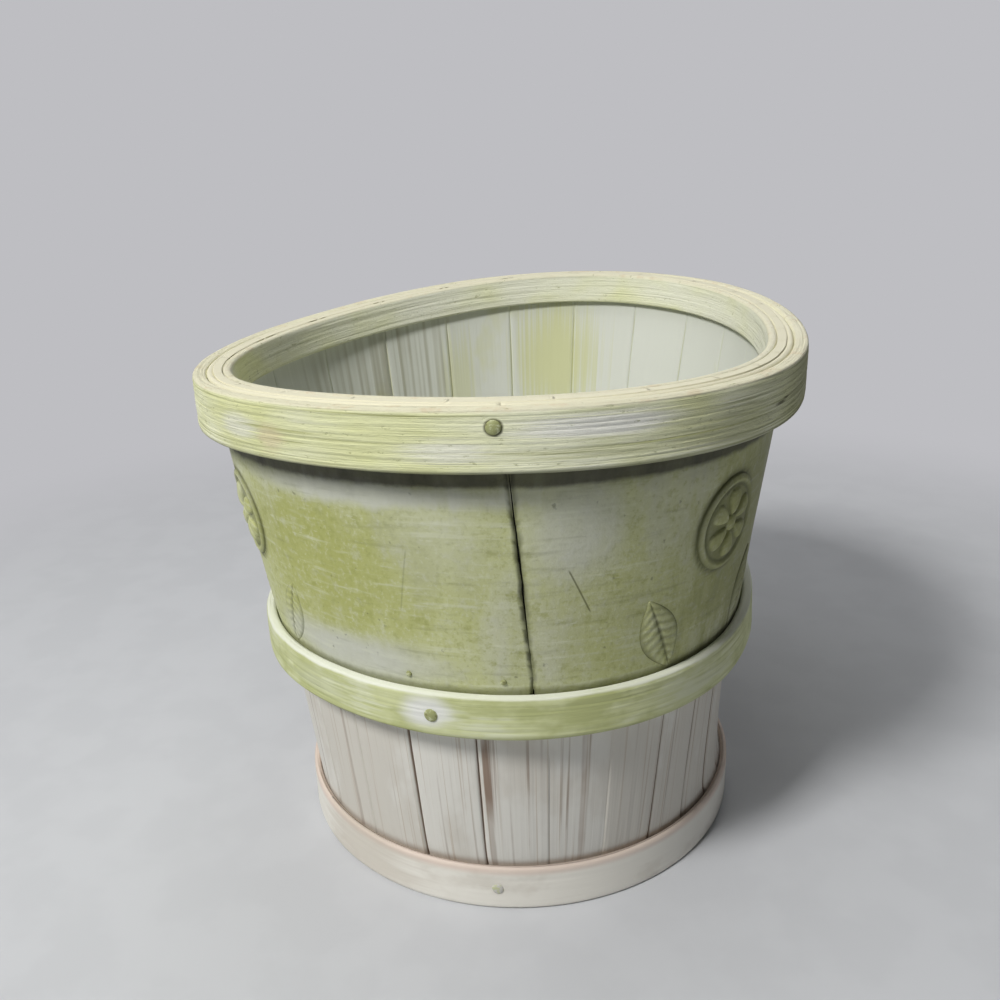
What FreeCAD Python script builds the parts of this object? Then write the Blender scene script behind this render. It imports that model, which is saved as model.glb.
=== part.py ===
import FreeCAD, Part
import os
import Sketcher

# Round slat planter. Origin at the centre of the foot, +Z up, the front faces -Y.
# Azimuths are in degrees from the front, positive towards +X.

# Driving dimensions in millimetres, degrees and counts
SIZES = [
    ("planter_height", 160),
    ("waist_height", 72.4),
    ("stave_foot_radius", 69.2),
    ("stave_waist_radius", 77.1),
    ("stave_rim_radius", 90.7),
    ("stave_thickness", 2.6),
    ("stave_count", 24),
    ("stave_gap", 0.8),
    ("first_seam_azimuth", -8.5),
    ("seam_sway", 12),
    ("fit_clearance", 0.1),
    ("panel_thickness", 2.0),
    ("panel_gap", 1.2),
    ("panel_seam_azimuth", 1.2),
    ("rim_hoop_height", 15.5),
    ("rim_hoop_thickness", 4.0),
    ("rim_hoop_rounding", 1.2),
    ("inner_hoop_height", 10.5),
    ("inner_hoop_thickness", 2.5),
    ("mid_hoop_height", 13.0),
    ("mid_hoop_thickness", 3.2),
    ("mid_hoop_rounding", 1.3),
    ("base_hoop_height", 15.0),
    ("base_hoop_thickness", 2.1),
    ("base_hoop_rounding", 1.1),
    ("board_thickness", 6.0),
    ("board_recess", 4.5),
    ("nail_count", 3),
    ("nail_head_diameter", 3.6),
    ("nail_head_height", 0.9),
    ("nail_shank_diameter", 1.6),
    ("nail_clearance", 0.05),
    ("rim_nail_drop", 4.2),
    ("rim_nail_azimuth", -1.8),
    ("rim_nail_length", 11.0),
    ("mid_nail_azimuth", -15.6),
    ("mid_nail_length", 7.4),
    ("base_nail_azimuth", -6.0),
    ("base_nail_length", 11.0),
    ("brad_head_diameter", 1.6),
    ("brad_head_height", 0.5),
    ("brad_shank_diameter", 0.8),
    ("brad_length", 3.6),
    ("brad_rise", 3.4),
    ("side_brad_count", 2),
    ("side_brad_azimuth", -20.4),
    ("seam_brad_count", 2),
    ("seam_brad_azimuth", -2.2),
    ("medallion_diameter", 28.0),
    ("medallion_relief", 0.9),
    ("medallion_rise", 39.3),
    ("right_medallion_azimuth", 42.0),
    ("left_medallion_azimuth", -68.5),
    ("petal_count", 6),
    ("petal_diameter", 6.4),
    ("petal_ring_radius", 6.6),
    ("flower_centre_diameter", 7.6),
    ("petal_relief", 0.9),
    ("leaf_length", 24.0),
    ("leaf_bow_radius", 17.0),
    ("leaf_lean", 5.0),
    ("leaf_rise", 11.5),
    ("leaf_offset_azimuth", 15.0),
    ("leaf_relief", 0.9),
]

doc = FreeCAD.newDocument("planter")
sheet = doc.addObject("Spreadsheet::Sheet", "sizes")
for row, (alias, value) in enumerate(SIZES, start=1):
    sheet.set("A%d" % row, alias)
    sheet.set("B%d" % row, str(value))
    sheet.setAlias("B%d" % row, alias)
doc.recompute()

# The sketcher counts a line's points and a sketch's own axes in these orders
POINT_ORDER = ("edge", "start", "end", "centre")
AXIS_ORDER = ("origin", "horizontal", "vertical")


# Expressions that several pieces share

def lower_wall(height):
    slope = "(sizes.stave_waist_radius - sizes.stave_foot_radius) / sizes.waist_height"
    return "(sizes.stave_foot_radius + %s * (%s))" % (slope, height)


def upper_wall(height):
    slope = ("(sizes.stave_rim_radius - sizes.stave_waist_radius)"
             " / (sizes.planter_height - sizes.waist_height)")
    return "(sizes.stave_waist_radius + %s * (%s - sizes.waist_height))" % (slope, height)


def panel_face(height):
    return "(%s + sizes.fit_clearance + sizes.panel_thickness)" % upper_wall(height)


SAME_RADIUS = 1e-6
TOP = "sizes.planter_height"
WAIST = "sizes.waist_height"
RIM_BOTTOM = "(sizes.planter_height - sizes.rim_hoop_height)"
MID_TOP = "(sizes.waist_height + sizes.mid_hoop_height / 2)"
MID_BOTTOM = "(sizes.waist_height - sizes.mid_hoop_height / 2)"
BASE_TOP = "sizes.base_hoop_height"


# A hoop's upright face stands clear of the widest part of the wall that it goes round
def hoop_face(name, *walls):
    return "(max(%s) + sizes.fit_clearance + sizes.%s_hoop_thickness)" % ("; ".join(walls), name)


RIM_FACE = hoop_face("rim", panel_face(TOP), panel_face(RIM_BOTTOM))
MID_FACE = hoop_face("mid", panel_face(MID_TOP), panel_face(WAIST), lower_wall(MID_BOTTOM))
BASE_FACE = hoop_face("base", lower_wall(BASE_TOP), "sizes.stave_foot_radius")
MID_STEP = "(sizes.waist_height - sizes.fit_clearance)"
BOARD_TOP = "(sizes.board_recess + sizes.board_thickness)"
BOARD_MIDDLE = "(sizes.board_recess + sizes.board_thickness / 2)"
BRAD_HEIGHT = "(%s + sizes.brad_rise)" % MID_TOP
INNER_REACH = "(sizes.stave_thickness + sizes.fit_clearance)"


# Sketch and feature helpers

def value_of(expression):
    return float(sheet.evalExpression(expression))


def new_body(name, azimuth=None, height=None):
    body = doc.addObject("PartDesign::Body", name)
    if azimuth is not None:
        body.Placement = FreeCAD.Placement(FreeCAD.Vector(), FreeCAD.Rotation(FreeCAD.Vector(0, 0, 1), 1))
        body.setExpression("Placement.Rotation.Angle", "%s - 90" % azimuth)
    if height is not None:
        body.setExpression("Placement.Base.z", height)
    return body


def origin_feature(body, role):
    return next(feature for feature in body.Origin.OriginFeatures if feature.Role == role)


def new_sketch(body, name, plane):
    sketch = body.newObject("Sketcher::SketchObject", name)
    sketch.AttachmentSupport = (origin_feature(body, plane), [""])
    sketch.MapMode = "FlatFace"
    return sketch


def bind(sketch, kind, geometry, point, name, expression):
    number = sketch.addConstraint(Sketcher.Constraint(kind, geometry, point, value_of(expression)))
    sketch.renameConstraint(number, name)
    sketch.setExpression("Constraints.%s" % name, expression)


def join(sketch, first, first_point, second, second_point):
    ends = (first, POINT_ORDER.index(first_point), second, POINT_ORDER.index(second_point))
    sketch.addConstraint(Sketcher.Constraint("Coincident", *ends))


def place_corner(sketch, geometry, point_name, corner, name):
    across, up = corner
    point = POINT_ORDER.index(point_name)
    for kind, axis, expression in (("DistanceX", "vertical", across), ("DistanceY", "horizontal", up)):
        if expression == "0":
            on_axis = (geometry, point, -AXIS_ORDER.index(axis))
            sketch.addConstraint(Sketcher.Constraint("PointOnObject", *on_axis))
        else:
            bind(sketch, kind, geometry, point, "%s_%s" % (name, kind.lower()), expression)


def corner_vector(corner):
    return FreeCAD.Vector(value_of(corner[0]), value_of(corner[1]), 0)


def outline(body, name, corners):
    sketch = new_sketch(body, name, "XZ_Plane")
    spots = [corner_vector(corner) for corner in corners]
    count = len(spots)
    for index, spot in enumerate(spots):
        sketch.addGeometry(Part.LineSegment(spot, spots[(index + 1) % count]))
    for index in range(count):
        join(sketch, index, "end", (index + 1) % count, "start")
    for index, corner in enumerate(corners):
        place_corner(sketch, index, "start", corner, "corner_%d" % index)
    return sketch


def revolve(body, sketch, axis="V_Axis", angle=None):
    feature = body.newObject("PartDesign::Revolution", body.Name + "_turn")
    feature.Profile = sketch
    feature.ReferenceAxis = (sketch, [axis])
    feature.Angle = 360
    if angle is not None:
        feature.Midplane = True
        feature.setExpression("Angle", angle)
    sketch.Visibility = False
    return feature


def polar_pattern(body, feature, axis, count):
    pattern = body.newObject("PartDesign::PolarPattern", body.Name + "_pattern")
    pattern.Originals = [feature]
    pattern.Axis = (origin_feature(body, axis), [""])
    pattern.Angle = 360
    pattern.setExpression("Occurrences", count)
    body.Tip = pattern
    return pattern


def round_rim_edges(body, feature, face_radius, rounding):
    doc.recompute()
    radius = value_of(face_radius)
    edges = []
    for number, edge in enumerate(feature.Shape.Edges, start=1):
        if isinstance(edge.Curve, Part.Circle) and abs(edge.Curve.Radius - radius) < SAME_RADIUS:
            edges.append("Edge%d" % number)
    fillet = body.newObject("PartDesign::Fillet", body.Name + "_rounding")
    fillet.Base = (feature, edges)
    fillet.setExpression("Radius", rounding)


def cut(label, base, tool):
    piece = doc.addObject("Part::Cut", label + "_piece")
    piece.Base = base
    piece.Tool = tool
    piece.Label = label
    return piece


# Nails: a round shank and a domed head, driven level towards the axis

def nail(name, kind, seat, azimuth, height, length, count):
    body = new_body(name, azimuth, height)
    sketch = new_sketch(body, name + "_profile", "XZ_Plane")
    tip = "(%s - %s)" % (seat, length)
    shank = "sizes.%s_shank_diameter / 2" % kind
    head = "sizes.%s_head_diameter / 2" % kind
    crown = "(%s + sizes.%s_head_height)" % (seat, kind)
    corners = [(tip, "0"), (tip, shank), (seat, shank), (seat, head), (crown, "0")]
    spots = [corner_vector(corner) for corner in corners]
    for first, second in zip(spots[:3], spots[1:4]):
        sketch.addGeometry(Part.LineSegment(first, second))
    head_rise = spots[4].x - spots[3].x
    dome_radius = (spots[3].y ** 2 + head_rise ** 2) / (2 * head_rise)
    dome_centre = FreeCAD.Vector(spots[4].x - dome_radius, 0, 0)
    turn = (spots[3] - dome_centre).getAngle(FreeCAD.Vector(1, 0, 0))
    dome_circle = Part.Circle(dome_centre, FreeCAD.Vector(0, 0, 1), dome_radius)
    sketch.addGeometry(Part.ArcOfCircle(dome_circle, 0, turn))
    sketch.addGeometry(Part.LineSegment(spots[4], spots[0]))
    for first, second in ((0, 1), (1, 2)):
        join(sketch, first, "end", second, "start")
    join(sketch, 2, "end", 3, "end")
    join(sketch, 3, "start", 4, "start")
    join(sketch, 4, "end", 0, "start")
    dome_on_axis = (3, POINT_ORDER.index("centre"), -AXIS_ORDER.index("horizontal"))
    sketch.addConstraint(Sketcher.Constraint("PointOnObject", *dome_on_axis))
    for index in range(3):
        place_corner(sketch, index, "start", corners[index], "corner_%d" % index)
    place_corner(sketch, 2, "end", corners[3], "corner_3")
    place_corner(sketch, 4, "start", corners[4], "corner_4")
    polar_pattern(body, revolve(body, sketch, "H_Axis"), "Z_Axis", count)
    body.Label = name
    return body


def nail_holes(name, kind, seat, azimuth, height, length, count):
    body = new_body(name, azimuth, height)
    near = "(%s - %s - sizes.nail_clearance)" % (seat, length)
    far = "(%s + sizes.%s_head_height)" % (seat, kind)
    radius = "(sizes.%s_shank_diameter / 2 + sizes.nail_clearance)" % kind
    sketch = outline(body, name + "_profile", [(near, "0"), (near, radius), (far, radius), (far, "0")])
    polar_pattern(body, revolve(body, sketch, "H_Axis"), "Z_Axis", count)
    return body


nail_sets = {
    "rim": ("nail", RIM_FACE, "sizes.rim_nail_azimuth", "%s - sizes.rim_nail_drop" % TOP,
            "sizes.rim_nail_length", "sizes.nail_count"),
    "mid": ("nail", MID_FACE, "sizes.mid_nail_azimuth", WAIST,
            "sizes.mid_nail_length", "sizes.nail_count"),
    "base": ("nail", BASE_FACE, "sizes.base_nail_azimuth", BOARD_MIDDLE,
             "sizes.base_nail_length", "sizes.nail_count"),
    "side": ("brad", panel_face(BRAD_HEIGHT), "sizes.side_brad_azimuth", BRAD_HEIGHT,
             "sizes.brad_length", "sizes.side_brad_count"),
    "seam": ("brad", panel_face(BRAD_HEIGHT), "sizes.seam_brad_azimuth", BRAD_HEIGHT,
             "sizes.brad_length", "sizes.seam_brad_count"),
}
pieces = []
holes = {}
for place, details in nail_sets.items():
    plural = "%s_%ss" % (place, details[0])
    pieces.append(nail(plural, *details))
    holes[place] = nail_holes(plural + "_holes", *details)


def joined_holes(name, places):
    compound = doc.addObject("Part::Compound", name)
    compound.Links = [holes[place] for place in places]
    return compound


# Staves: one bent slat each, straight from foot to waist and from waist to rim

stave_holes = joined_holes("stave_holes", ["rim", "mid", "base", "side", "seam"])
stave_corners = [
    ("sizes.stave_foot_radius - sizes.stave_thickness", "0"),
    ("sizes.stave_foot_radius", "0"),
    ("sizes.stave_waist_radius", WAIST),
    ("sizes.stave_rim_radius", TOP),
    ("sizes.stave_rim_radius - sizes.stave_thickness", TOP),
    ("sizes.stave_waist_radius - sizes.stave_thickness", WAIST),
]


# Azimuth of a seam: even steps, drawn together on one side and spread on the other
def seam_azimuth(number):
    turn = "%d * 360 / sizes.stave_count" % number
    return "(sizes.first_seam_azimuth + %s - sizes.seam_sway * (1 - cos(%s * 1 deg)))" % (turn, turn)


for number in range(1, int(value_of("sizes.stave_count")) + 1):
    label = "stave_%02d" % number
    start, end = seam_azimuth(number - 1), seam_azimuth(number)
    blank = new_body(label + "_blank", "(%s + %s) / 2" % (start, end))
    stave_angle = "%s - %s - sizes.stave_gap / sizes.stave_waist_radius * 180 / pi" % (end, start)
    revolve(blank, outline(blank, label + "_profile", stave_corners), angle=stave_angle)
    pieces.append(cut(label, blank, stave_holes))

# Bottom board: a round board with a sloping edge, held inside the staves

board = new_body("bottom_board_blank")
board_corners = [
    ("0", "sizes.board_recess"),
    ("%s - %s" % (lower_wall("sizes.board_recess"), INNER_REACH), "sizes.board_recess"),
    ("%s - %s" % (lower_wall(BOARD_TOP), INNER_REACH), BOARD_TOP),
    ("0", BOARD_TOP),
]
revolve(board, outline(board, "bottom_board_profile", board_corners))
pieces.append(cut("bottom_board", board, holes["base"]))

# Panels: two half belts on the upper wall, with a seam at the front and one at the back

panel_holes = joined_holes("panel_holes", ["rim", "mid", "side", "seam"])
panel_corners = [
    ("%s + sizes.fit_clearance" % upper_wall(WAIST), WAIST),
    (panel_face(WAIST), WAIST),
    (panel_face(TOP), TOP),
    ("%s + sizes.fit_clearance" % upper_wall(TOP), TOP),
]
panel_angle = "180 - sizes.panel_gap / sizes.stave_rim_radius * 180 / pi"
for label, quarter in (("right_panel", 90), ("left_panel", -90)):
    panel = new_body(label + "_blank", "sizes.panel_seam_azimuth + %d" % quarter)
    revolve(panel, outline(panel, label + "_profile", panel_corners), angle=panel_angle)
    pieces.append(cut(label, panel, panel_holes))

# Hoops: bent bands with an upright outer face and rounded outer edges

hoops = {
    "rim_outer_hoop": (RIM_FACE, "sizes.rim_hoop_rounding", "rim", [
        ("%s + sizes.fit_clearance" % panel_face(RIM_BOTTOM), RIM_BOTTOM),
        (RIM_FACE, RIM_BOTTOM),
        (RIM_FACE, TOP),
        ("%s + sizes.fit_clearance" % panel_face(TOP), TOP),
    ]),
    "mid_hoop": (MID_FACE, "sizes.mid_hoop_rounding", "mid", [
        ("%s + sizes.fit_clearance" % lower_wall(MID_BOTTOM), MID_BOTTOM),
        (MID_FACE, MID_BOTTOM),
        (MID_FACE, MID_TOP),
        ("%s + sizes.fit_clearance" % panel_face(MID_TOP), MID_TOP),
        ("%s + sizes.fit_clearance" % panel_face(MID_STEP), MID_STEP),
        ("%s + sizes.fit_clearance" % lower_wall(MID_STEP), MID_STEP),
    ]),
    "base_hoop": (BASE_FACE, "sizes.base_hoop_rounding", "base", [
        ("sizes.stave_foot_radius + sizes.fit_clearance", "0"),
        (BASE_FACE, "0"),
        (BASE_FACE, BASE_TOP),
        ("%s + sizes.fit_clearance" % lower_wall(BASE_TOP), BASE_TOP),
    ]),
}
for label, (face_radius, rounding, place, corners) in hoops.items():
    hoop = new_body(label + "_blank")
    turned = revolve(hoop, outline(hoop, label + "_profile", corners))
    round_rim_edges(hoop, turned, face_radius, rounding)
    pieces.append(cut(label, hoop, holes[place]))

# Inner hoop: a band of even thickness that lines the rim inside the staves

INNER_BOTTOM = "(sizes.planter_height - sizes.inner_hoop_height)"
inner_hoop = new_body("rim_inner_hoop_blank")
inner_corners = [
    ("%s - %s - sizes.inner_hoop_thickness" % (upper_wall(INNER_BOTTOM), INNER_REACH), INNER_BOTTOM),
    ("%s - %s" % (upper_wall(INNER_BOTTOM), INNER_REACH), INNER_BOTTOM),
    ("%s - %s" % (upper_wall(TOP), INNER_REACH), TOP),
    ("%s - %s - sizes.inner_hoop_thickness" % (upper_wall(TOP), INNER_REACH), TOP),
]
revolve(inner_hoop, outline(inner_hoop, "rim_inner_hoop_profile", inner_corners))
pieces.append(cut("rim_inner_hoop", inner_hoop, holes["rim"]))


# Reliefs: raised shapes that follow the panels' cone, cut from thin cone shells by level prisms

def relief_shell(name, relief):
    body = new_body(name)
    low, high = MID_TOP, RIM_BOTTOM
    corners = [
        (panel_face(low), low),
        ("%s + %s" % (panel_face(low), relief), low),
        ("%s + %s" % (panel_face(high), relief), high),
        (panel_face(high), high),
    ]
    revolve(body, outline(body, name + "_profile", corners))
    return body


def pad(body, sketch):
    feature = body.newObject("PartDesign::Pad", sketch.Name + "_pad")
    feature.Profile = sketch
    feature.setExpression("Length", RIM_FACE)
    sketch.Visibility = False
    return feature


def circle_sketch(body, name, diameter, offset="0"):
    sketch = new_sketch(body, name, "YZ_Plane")
    centre = FreeCAD.Vector(0, value_of(offset), 0)
    sketch.addGeometry(Part.Circle(centre, FreeCAD.Vector(0, 0, 1), value_of(diameter) / 2))
    place_corner(sketch, 0, "centre", ("0", offset), name + "_centre")
    number = sketch.addConstraint(Sketcher.Constraint("Diameter", 0, value_of(diameter)))
    sketch.renameConstraint(number, "across")
    sketch.setExpression("Constraints.across", diameter)
    return sketch


def common(name, shell, prism):
    shape = doc.addObject("Part::Common", name)
    shape.Base = shell
    shape.Tool = prism
    return shape


def medallion(label, azimuth, disc_shell, flower_shell):
    height = "%s + sizes.medallion_rise" % MID_TOP
    disc = new_body(label + "_disc", azimuth, height)
    pad(disc, circle_sketch(disc, label + "_disc_circle", "sizes.medallion_diameter"))
    flower = new_body(label + "_flower", azimuth, height)
    pad(flower, circle_sketch(flower, label + "_heart", "sizes.flower_centre_diameter"))
    petal = circle_sketch(flower, label + "_petal", "sizes.petal_diameter", "sizes.petal_ring_radius")
    polar_pattern(flower, pad(flower, petal), "X_Axis", "sizes.petal_count")
    piece = doc.addObject("Part::Fuse", label + "_piece")
    piece.Base = common(label + "_raised_disc", disc_shell, disc)
    piece.Tool = common(label + "_raised_flower", flower_shell, flower)
    piece.Label = label
    return piece


def leaf(label, azimuth, lean_sign, shell):
    body = new_body(label + "_prism", azimuth, "%s + sizes.leaf_rise" % MID_TOP)
    sketch = new_sketch(body, label + "_outline", "YZ_Plane")
    across = "%s * sizes.leaf_lean" % lean_sign
    up = "sizes.leaf_length / 2"
    tip = FreeCAD.Vector(value_of(across), value_of(up), 0)
    stem = tip * -1
    side = FreeCAD.Vector(-tip.y, tip.x, 0).normalize()
    bow = value_of("sizes.leaf_bow_radius")
    bulge = bow - (bow ** 2 - tip.Length ** 2) ** 0.5
    sketch.addGeometry(Part.Arc(tip, side * bulge, stem))
    sketch.addGeometry(Part.Arc(stem, side * -bulge, tip))
    join(sketch, 0, "end", 1, "start")
    join(sketch, 1, "end", 0, "start")
    place_corner(sketch, 0, "start", (across, up), "tip")
    place_corner(sketch, 1, "start", ("-(%s)" % across, "-(%s)" % up), "stem")
    for index in (0, 1):
        number = sketch.addConstraint(Sketcher.Constraint("Radius", index, bow))
        sketch.renameConstraint(number, "bow_%d" % index)
        sketch.setExpression("Constraints.bow_%d" % index, "sizes.leaf_bow_radius")
    pad(body, sketch)
    piece = common(label + "_piece", shell, body)
    piece.Label = label
    return piece


medallion_shell = relief_shell("medallion_shell", "sizes.medallion_relief")
flower_shell = relief_shell("flower_shell", "sizes.medallion_relief + sizes.petal_relief")
leaf_shell = relief_shell("leaf_shell", "sizes.leaf_relief")
for side_name, front_sign in (("right", -1), ("left", 1)):
    place = "sizes.%s_medallion_azimuth" % side_name
    pieces.append(medallion(side_name + "_medallion", place, medallion_shell, flower_shell))
    for leaf_name, spread in (("front", front_sign), ("back", -front_sign)):
        leaf_place = "%s + %d * sizes.leaf_offset_azimuth" % (place, spread)
        pieces.append(leaf("%s_%s_leaf" % (side_name, leaf_name), leaf_place, spread, leaf_shell))

doc.recompute()
for item in doc.Objects:
    if "Invalid" in item.State or "Error" in item.State:
        raise RuntimeError("%s did not rebuild: %s" % (item.Label, item.State))
os.makedirs("parts", exist_ok=True)
for piece in pieces:
    if piece.Shape.isNull() or not piece.Shape.isValid():
        raise RuntimeError("%s has no valid solid" % piece.Label)
    piece.Shape.exportStep("parts/%s.step" % piece.Label)
    print(piece.Label, len(piece.Shape.Solids), round(piece.Shape.Volume, 1))
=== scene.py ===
import functools
import math
import bpy
import numpy as np
from mathutils import Matrix, Vector


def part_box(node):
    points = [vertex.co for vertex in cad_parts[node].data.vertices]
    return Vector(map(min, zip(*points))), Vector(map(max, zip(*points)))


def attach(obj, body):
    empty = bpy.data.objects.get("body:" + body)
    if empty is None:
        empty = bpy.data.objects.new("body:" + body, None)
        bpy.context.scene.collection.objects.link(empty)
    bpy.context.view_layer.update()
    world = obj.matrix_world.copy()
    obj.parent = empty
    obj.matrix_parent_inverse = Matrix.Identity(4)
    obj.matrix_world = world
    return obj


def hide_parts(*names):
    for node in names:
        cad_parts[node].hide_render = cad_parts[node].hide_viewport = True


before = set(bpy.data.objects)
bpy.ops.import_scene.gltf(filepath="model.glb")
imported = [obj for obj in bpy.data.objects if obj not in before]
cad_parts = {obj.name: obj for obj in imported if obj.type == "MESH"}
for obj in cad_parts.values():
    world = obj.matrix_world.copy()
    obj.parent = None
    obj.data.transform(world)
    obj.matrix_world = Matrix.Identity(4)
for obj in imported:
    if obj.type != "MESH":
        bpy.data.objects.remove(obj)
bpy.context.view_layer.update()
scene = bpy.context.scene
print("frame loaded")

mm = 0.001
cornerSteps = 7  # points on each rounded corner of a section
endRing = 0.88  # size of the ring inside an open end, as a share of the end

# the wall that every piece follows, as in the part's source
wall = dict(foot=69.2 * mm, waist=77.1 * mm, rim=90.7 * mm, waistHeight=72.4 * mm, height=160 * mm,
            slatThickness=2.6 * mm, panelThickness=2.0 * mm, clearance=0.1 * mm, slatCount=24,
            firstSeam=-8.5, seamSway=12.0)

# how far the wall has warped: waves of radius (in mm, as cosine and sine of 2, 3 and 4 turns) and of level
# (1 and 2 turns), none at the base hoop and all of it at the rim hoop
warp = dict(start=15 * mm, full=144.5 * mm, bulge={2: (3.12, -1.32), 3: (2.04, 2.75), 4: (-0.09, -0.13)},
            level={1: (0.84, 3.74), 2: (2.92, -1.0)}, aside=-0.84, front=0.46, back=2.0)


# outer radius of the slats at a height: straight from foot to waist and from waist to rim
def slatFace(z):
    return np.interp(z, [0, wall["waistHeight"], wall["height"]], [wall["foot"], wall["waist"], wall["rim"]])


def panelFace(z):
    return slatFace(z) + wall["clearance"] + wall["panelThickness"]


# a point from an azimuth (radians from the front, positive to the right), a radius and a height
def onRing(azimuth, radius, z):
    azimuth, radius, z = np.broadcast_arrays(azimuth, radius, z)
    return np.stack([radius * np.sin(azimuth), -radius * np.cos(azimuth), z], axis=-1)


# points of the round, level planter moved to where its warped wall has them: the radius and the level change
# by their waves, and the whole rim goes aside, by a share that is a power of the height above the base hoop,
# a higher one towards the back
def warped(points):
    x, y, z = points.T
    azimuth, radius = np.arctan2(x, -y), np.hypot(x, y)
    share = np.clip((z - warp["start"]) / (warp["full"] - warp["start"]), 0, 1)
    share = share ** (warp["front"] + warp["back"] * np.clip(-np.cos(azimuth), 0, 1)) * mm
    bulge, level = (sum(c * np.cos(n * azimuth) + d * np.sin(n * azimuth) for n, (c, d) in warp[key].items())
                    for key in ("bulge", "level"))
    moved = onRing(azimuth, radius + share * bulge, z + share * level)
    return moved + np.stack([share * warp["aside"], 0 * share, 0 * share], axis=-1)


# smooth random field from -1 to 1: random values on a lattice that closes on itself along u,
# blended between cells by the curve 3t^2 - 2t^3
def roughField(u, v, cellsU, cellsV, seed):
    table = np.random.default_rng(seed).uniform(-1, 1, (cellsU, cellsV + 2))
    alongU, alongV = np.mod(u, 1) * cellsU, np.clip(v, 0, 1) * cellsV
    cellU, cellV = np.floor(alongU).astype(int), np.floor(alongV).astype(int)
    stepU, stepV = alongU - cellU, alongV - cellV
    stepU, stepV = stepU ** 2 * (3 - 2 * stepU), stepV ** 2 * (3 - 2 * stepV)
    cellU, nextU = cellU % cellsU, (cellU + 1) % cellsU
    low = table[cellU, cellV] * (1 - stepU) + table[nextU, cellV] * stepU
    high = table[cellU, cellV + 1] * (1 - stepU) + table[nextU, cellV + 1] * stepU
    return low * (1 - stepV) + high * stepV


# wood grain that runs along u: three layers of the field, each narrower across v
def grainField(u, v, runs, lines, seed):
    return (0.5 * roughField(u, v, runs, lines, seed) + 0.3 * roughField(u, v, runs * 2, lines * 2, seed + 1)
            + 0.2 * roughField(u, v, runs * 3, lines * 4, seed + 2))


# closed section with rounded corners: each corner is a parabola between two points of its sides,
# and the outline is then spaced evenly by its length
def roundedSection(corners, rounding, count):
    spots = np.array(corners, float)
    before, after = np.roll(spots, 1, axis=0) - spots, np.roll(spots, -1, axis=0) - spots
    before *= rounding / np.linalg.norm(before, axis=1, keepdims=True)
    after *= rounding / np.linalg.norm(after, axis=1, keepdims=True)
    turn = np.linspace(0, 1, cornerSteps)[None, :, None]
    bend = ((1 - turn) ** 2 * (spots + before)[:, None] + 2 * turn * (1 - turn) * spots[:, None]
            + turn ** 2 * (spots + after)[:, None]).reshape(-1, 2)
    closed = np.vstack([bend, bend[:1]])
    length = np.concatenate([[0], np.cumsum(np.linalg.norm(np.diff(closed, axis=0), axis=1))])
    even = np.linspace(0, length[-1], count, endpoint=False)
    return np.stack([np.interp(even, length, closed[:, k]) for k in (0, 1)], axis=-1)


# outward directions of a closed section: its tangent turned by a right angle, away from its middle
def sectionNormals(section):
    tangent = np.roll(section, -1, axis=0) - np.roll(section, 1, axis=0)
    normal = np.stack([tangent[:, 1], -tangent[:, 0]], axis=-1)
    normal /= np.linalg.norm(normal, axis=1, keepdims=True)
    outward = np.sum(normal * (section - section.mean(axis=0)))
    return normal * np.sign(outward)


# quads of a grid of points, closed along either direction where asked
def gridFaces(rows, columns, closeRows, closeColumns):
    row = np.arange(rows if closeRows else rows - 1)[:, None]
    column = np.arange(columns if closeColumns else columns - 1)[None, :]
    nextRow, nextColumn = (row + 1) % rows, (column + 1) % columns
    quads = np.stack([row * columns + column, nextRow * columns + column,
                      nextRow * columns + nextColumn, row * columns + nextColumn], axis=-1)
    return quads.reshape(-1, 4).tolist()


# a fan that closes a ring of points with one point at its middle
def fanFaces(ring, middle, backwards):
    pairs = list(zip(ring, ring[1:] + ring[:1]))
    return [(b, a, middle) if backwards else (a, b, middle) for a, b in pairs]


def addPiece(name, points, faces, material, nodes, marks=None):
    points = points.reshape(-1, 3)
    mesh = bpy.data.meshes.new(name)
    mesh.from_pydata(warped(points).tolist(), [], faces)
    mesh.calc_loop_triangles()
    corners = np.empty(len(mesh.loop_triangles) * 3, int)
    mesh.loop_triangles.foreach_get("vertices", corners)
    a, b, c = points[corners.reshape(-1, 3)].transpose(1, 0, 2)
    if np.sum(a * np.cross(b, c)) < 0:  # a closed mesh that holds less than nothing is inside out
        mesh.flip_normals()
    mesh.polygons.foreach_set("use_smooth", np.ones(len(mesh.polygons), bool))
    mesh.attributes.new("unwarped", "FLOAT_VECTOR", "POINT").data.foreach_set("vector", points.ravel())
    for markName, values in (marks or {}).items():
        mesh.attributes.new(markName, "FLOAT", "POINT").data.foreach_set("value", values)
    mesh.materials.append(material)
    piece = bpy.data.objects.new(name, mesh)
    scene.collection.objects.link(piece)
    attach(piece, "root")
    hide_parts(*nodes)
    return piece


# a section carried along a path: rings of points, closed into a hoop or at both ends by a ring
# drawn in towards the end's middle and a fan
def carriedPiece(name, rings, closed, material, nodes, marks=None):
    marks = marks or {}
    if not closed:
        middles = rings[[0, -1]].mean(axis=1, keepdims=True)
        drawnIn = middles + endRing * (rings[[0, -1]] - middles)
        rings = np.concatenate([drawnIn[:1], rings, drawnIn[1:]])
        marks = {key: np.vstack([grid[:1], grid, grid[-1:]]) for key, grid in marks.items()}
    count, size = rings.shape[:2]
    faces = gridFaces(count, size, closed, True)
    points = rings.reshape(-1, 3)
    if not closed:
        points = np.vstack([points, middles.reshape(-1, 3)])
        first, last = list(range(size)), list(range((count - 1) * size, count * size))
        faces += fanFaces(first, count * size, False) + fanFaces(last, count * size + 1, True)
        marks = {key: np.concatenate([grid.ravel(), grid[[0, -1]].mean(axis=1)])
                 for key, grid in marks.items()}
    return addPiece(name, points, faces, material, nodes, marks)


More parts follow.
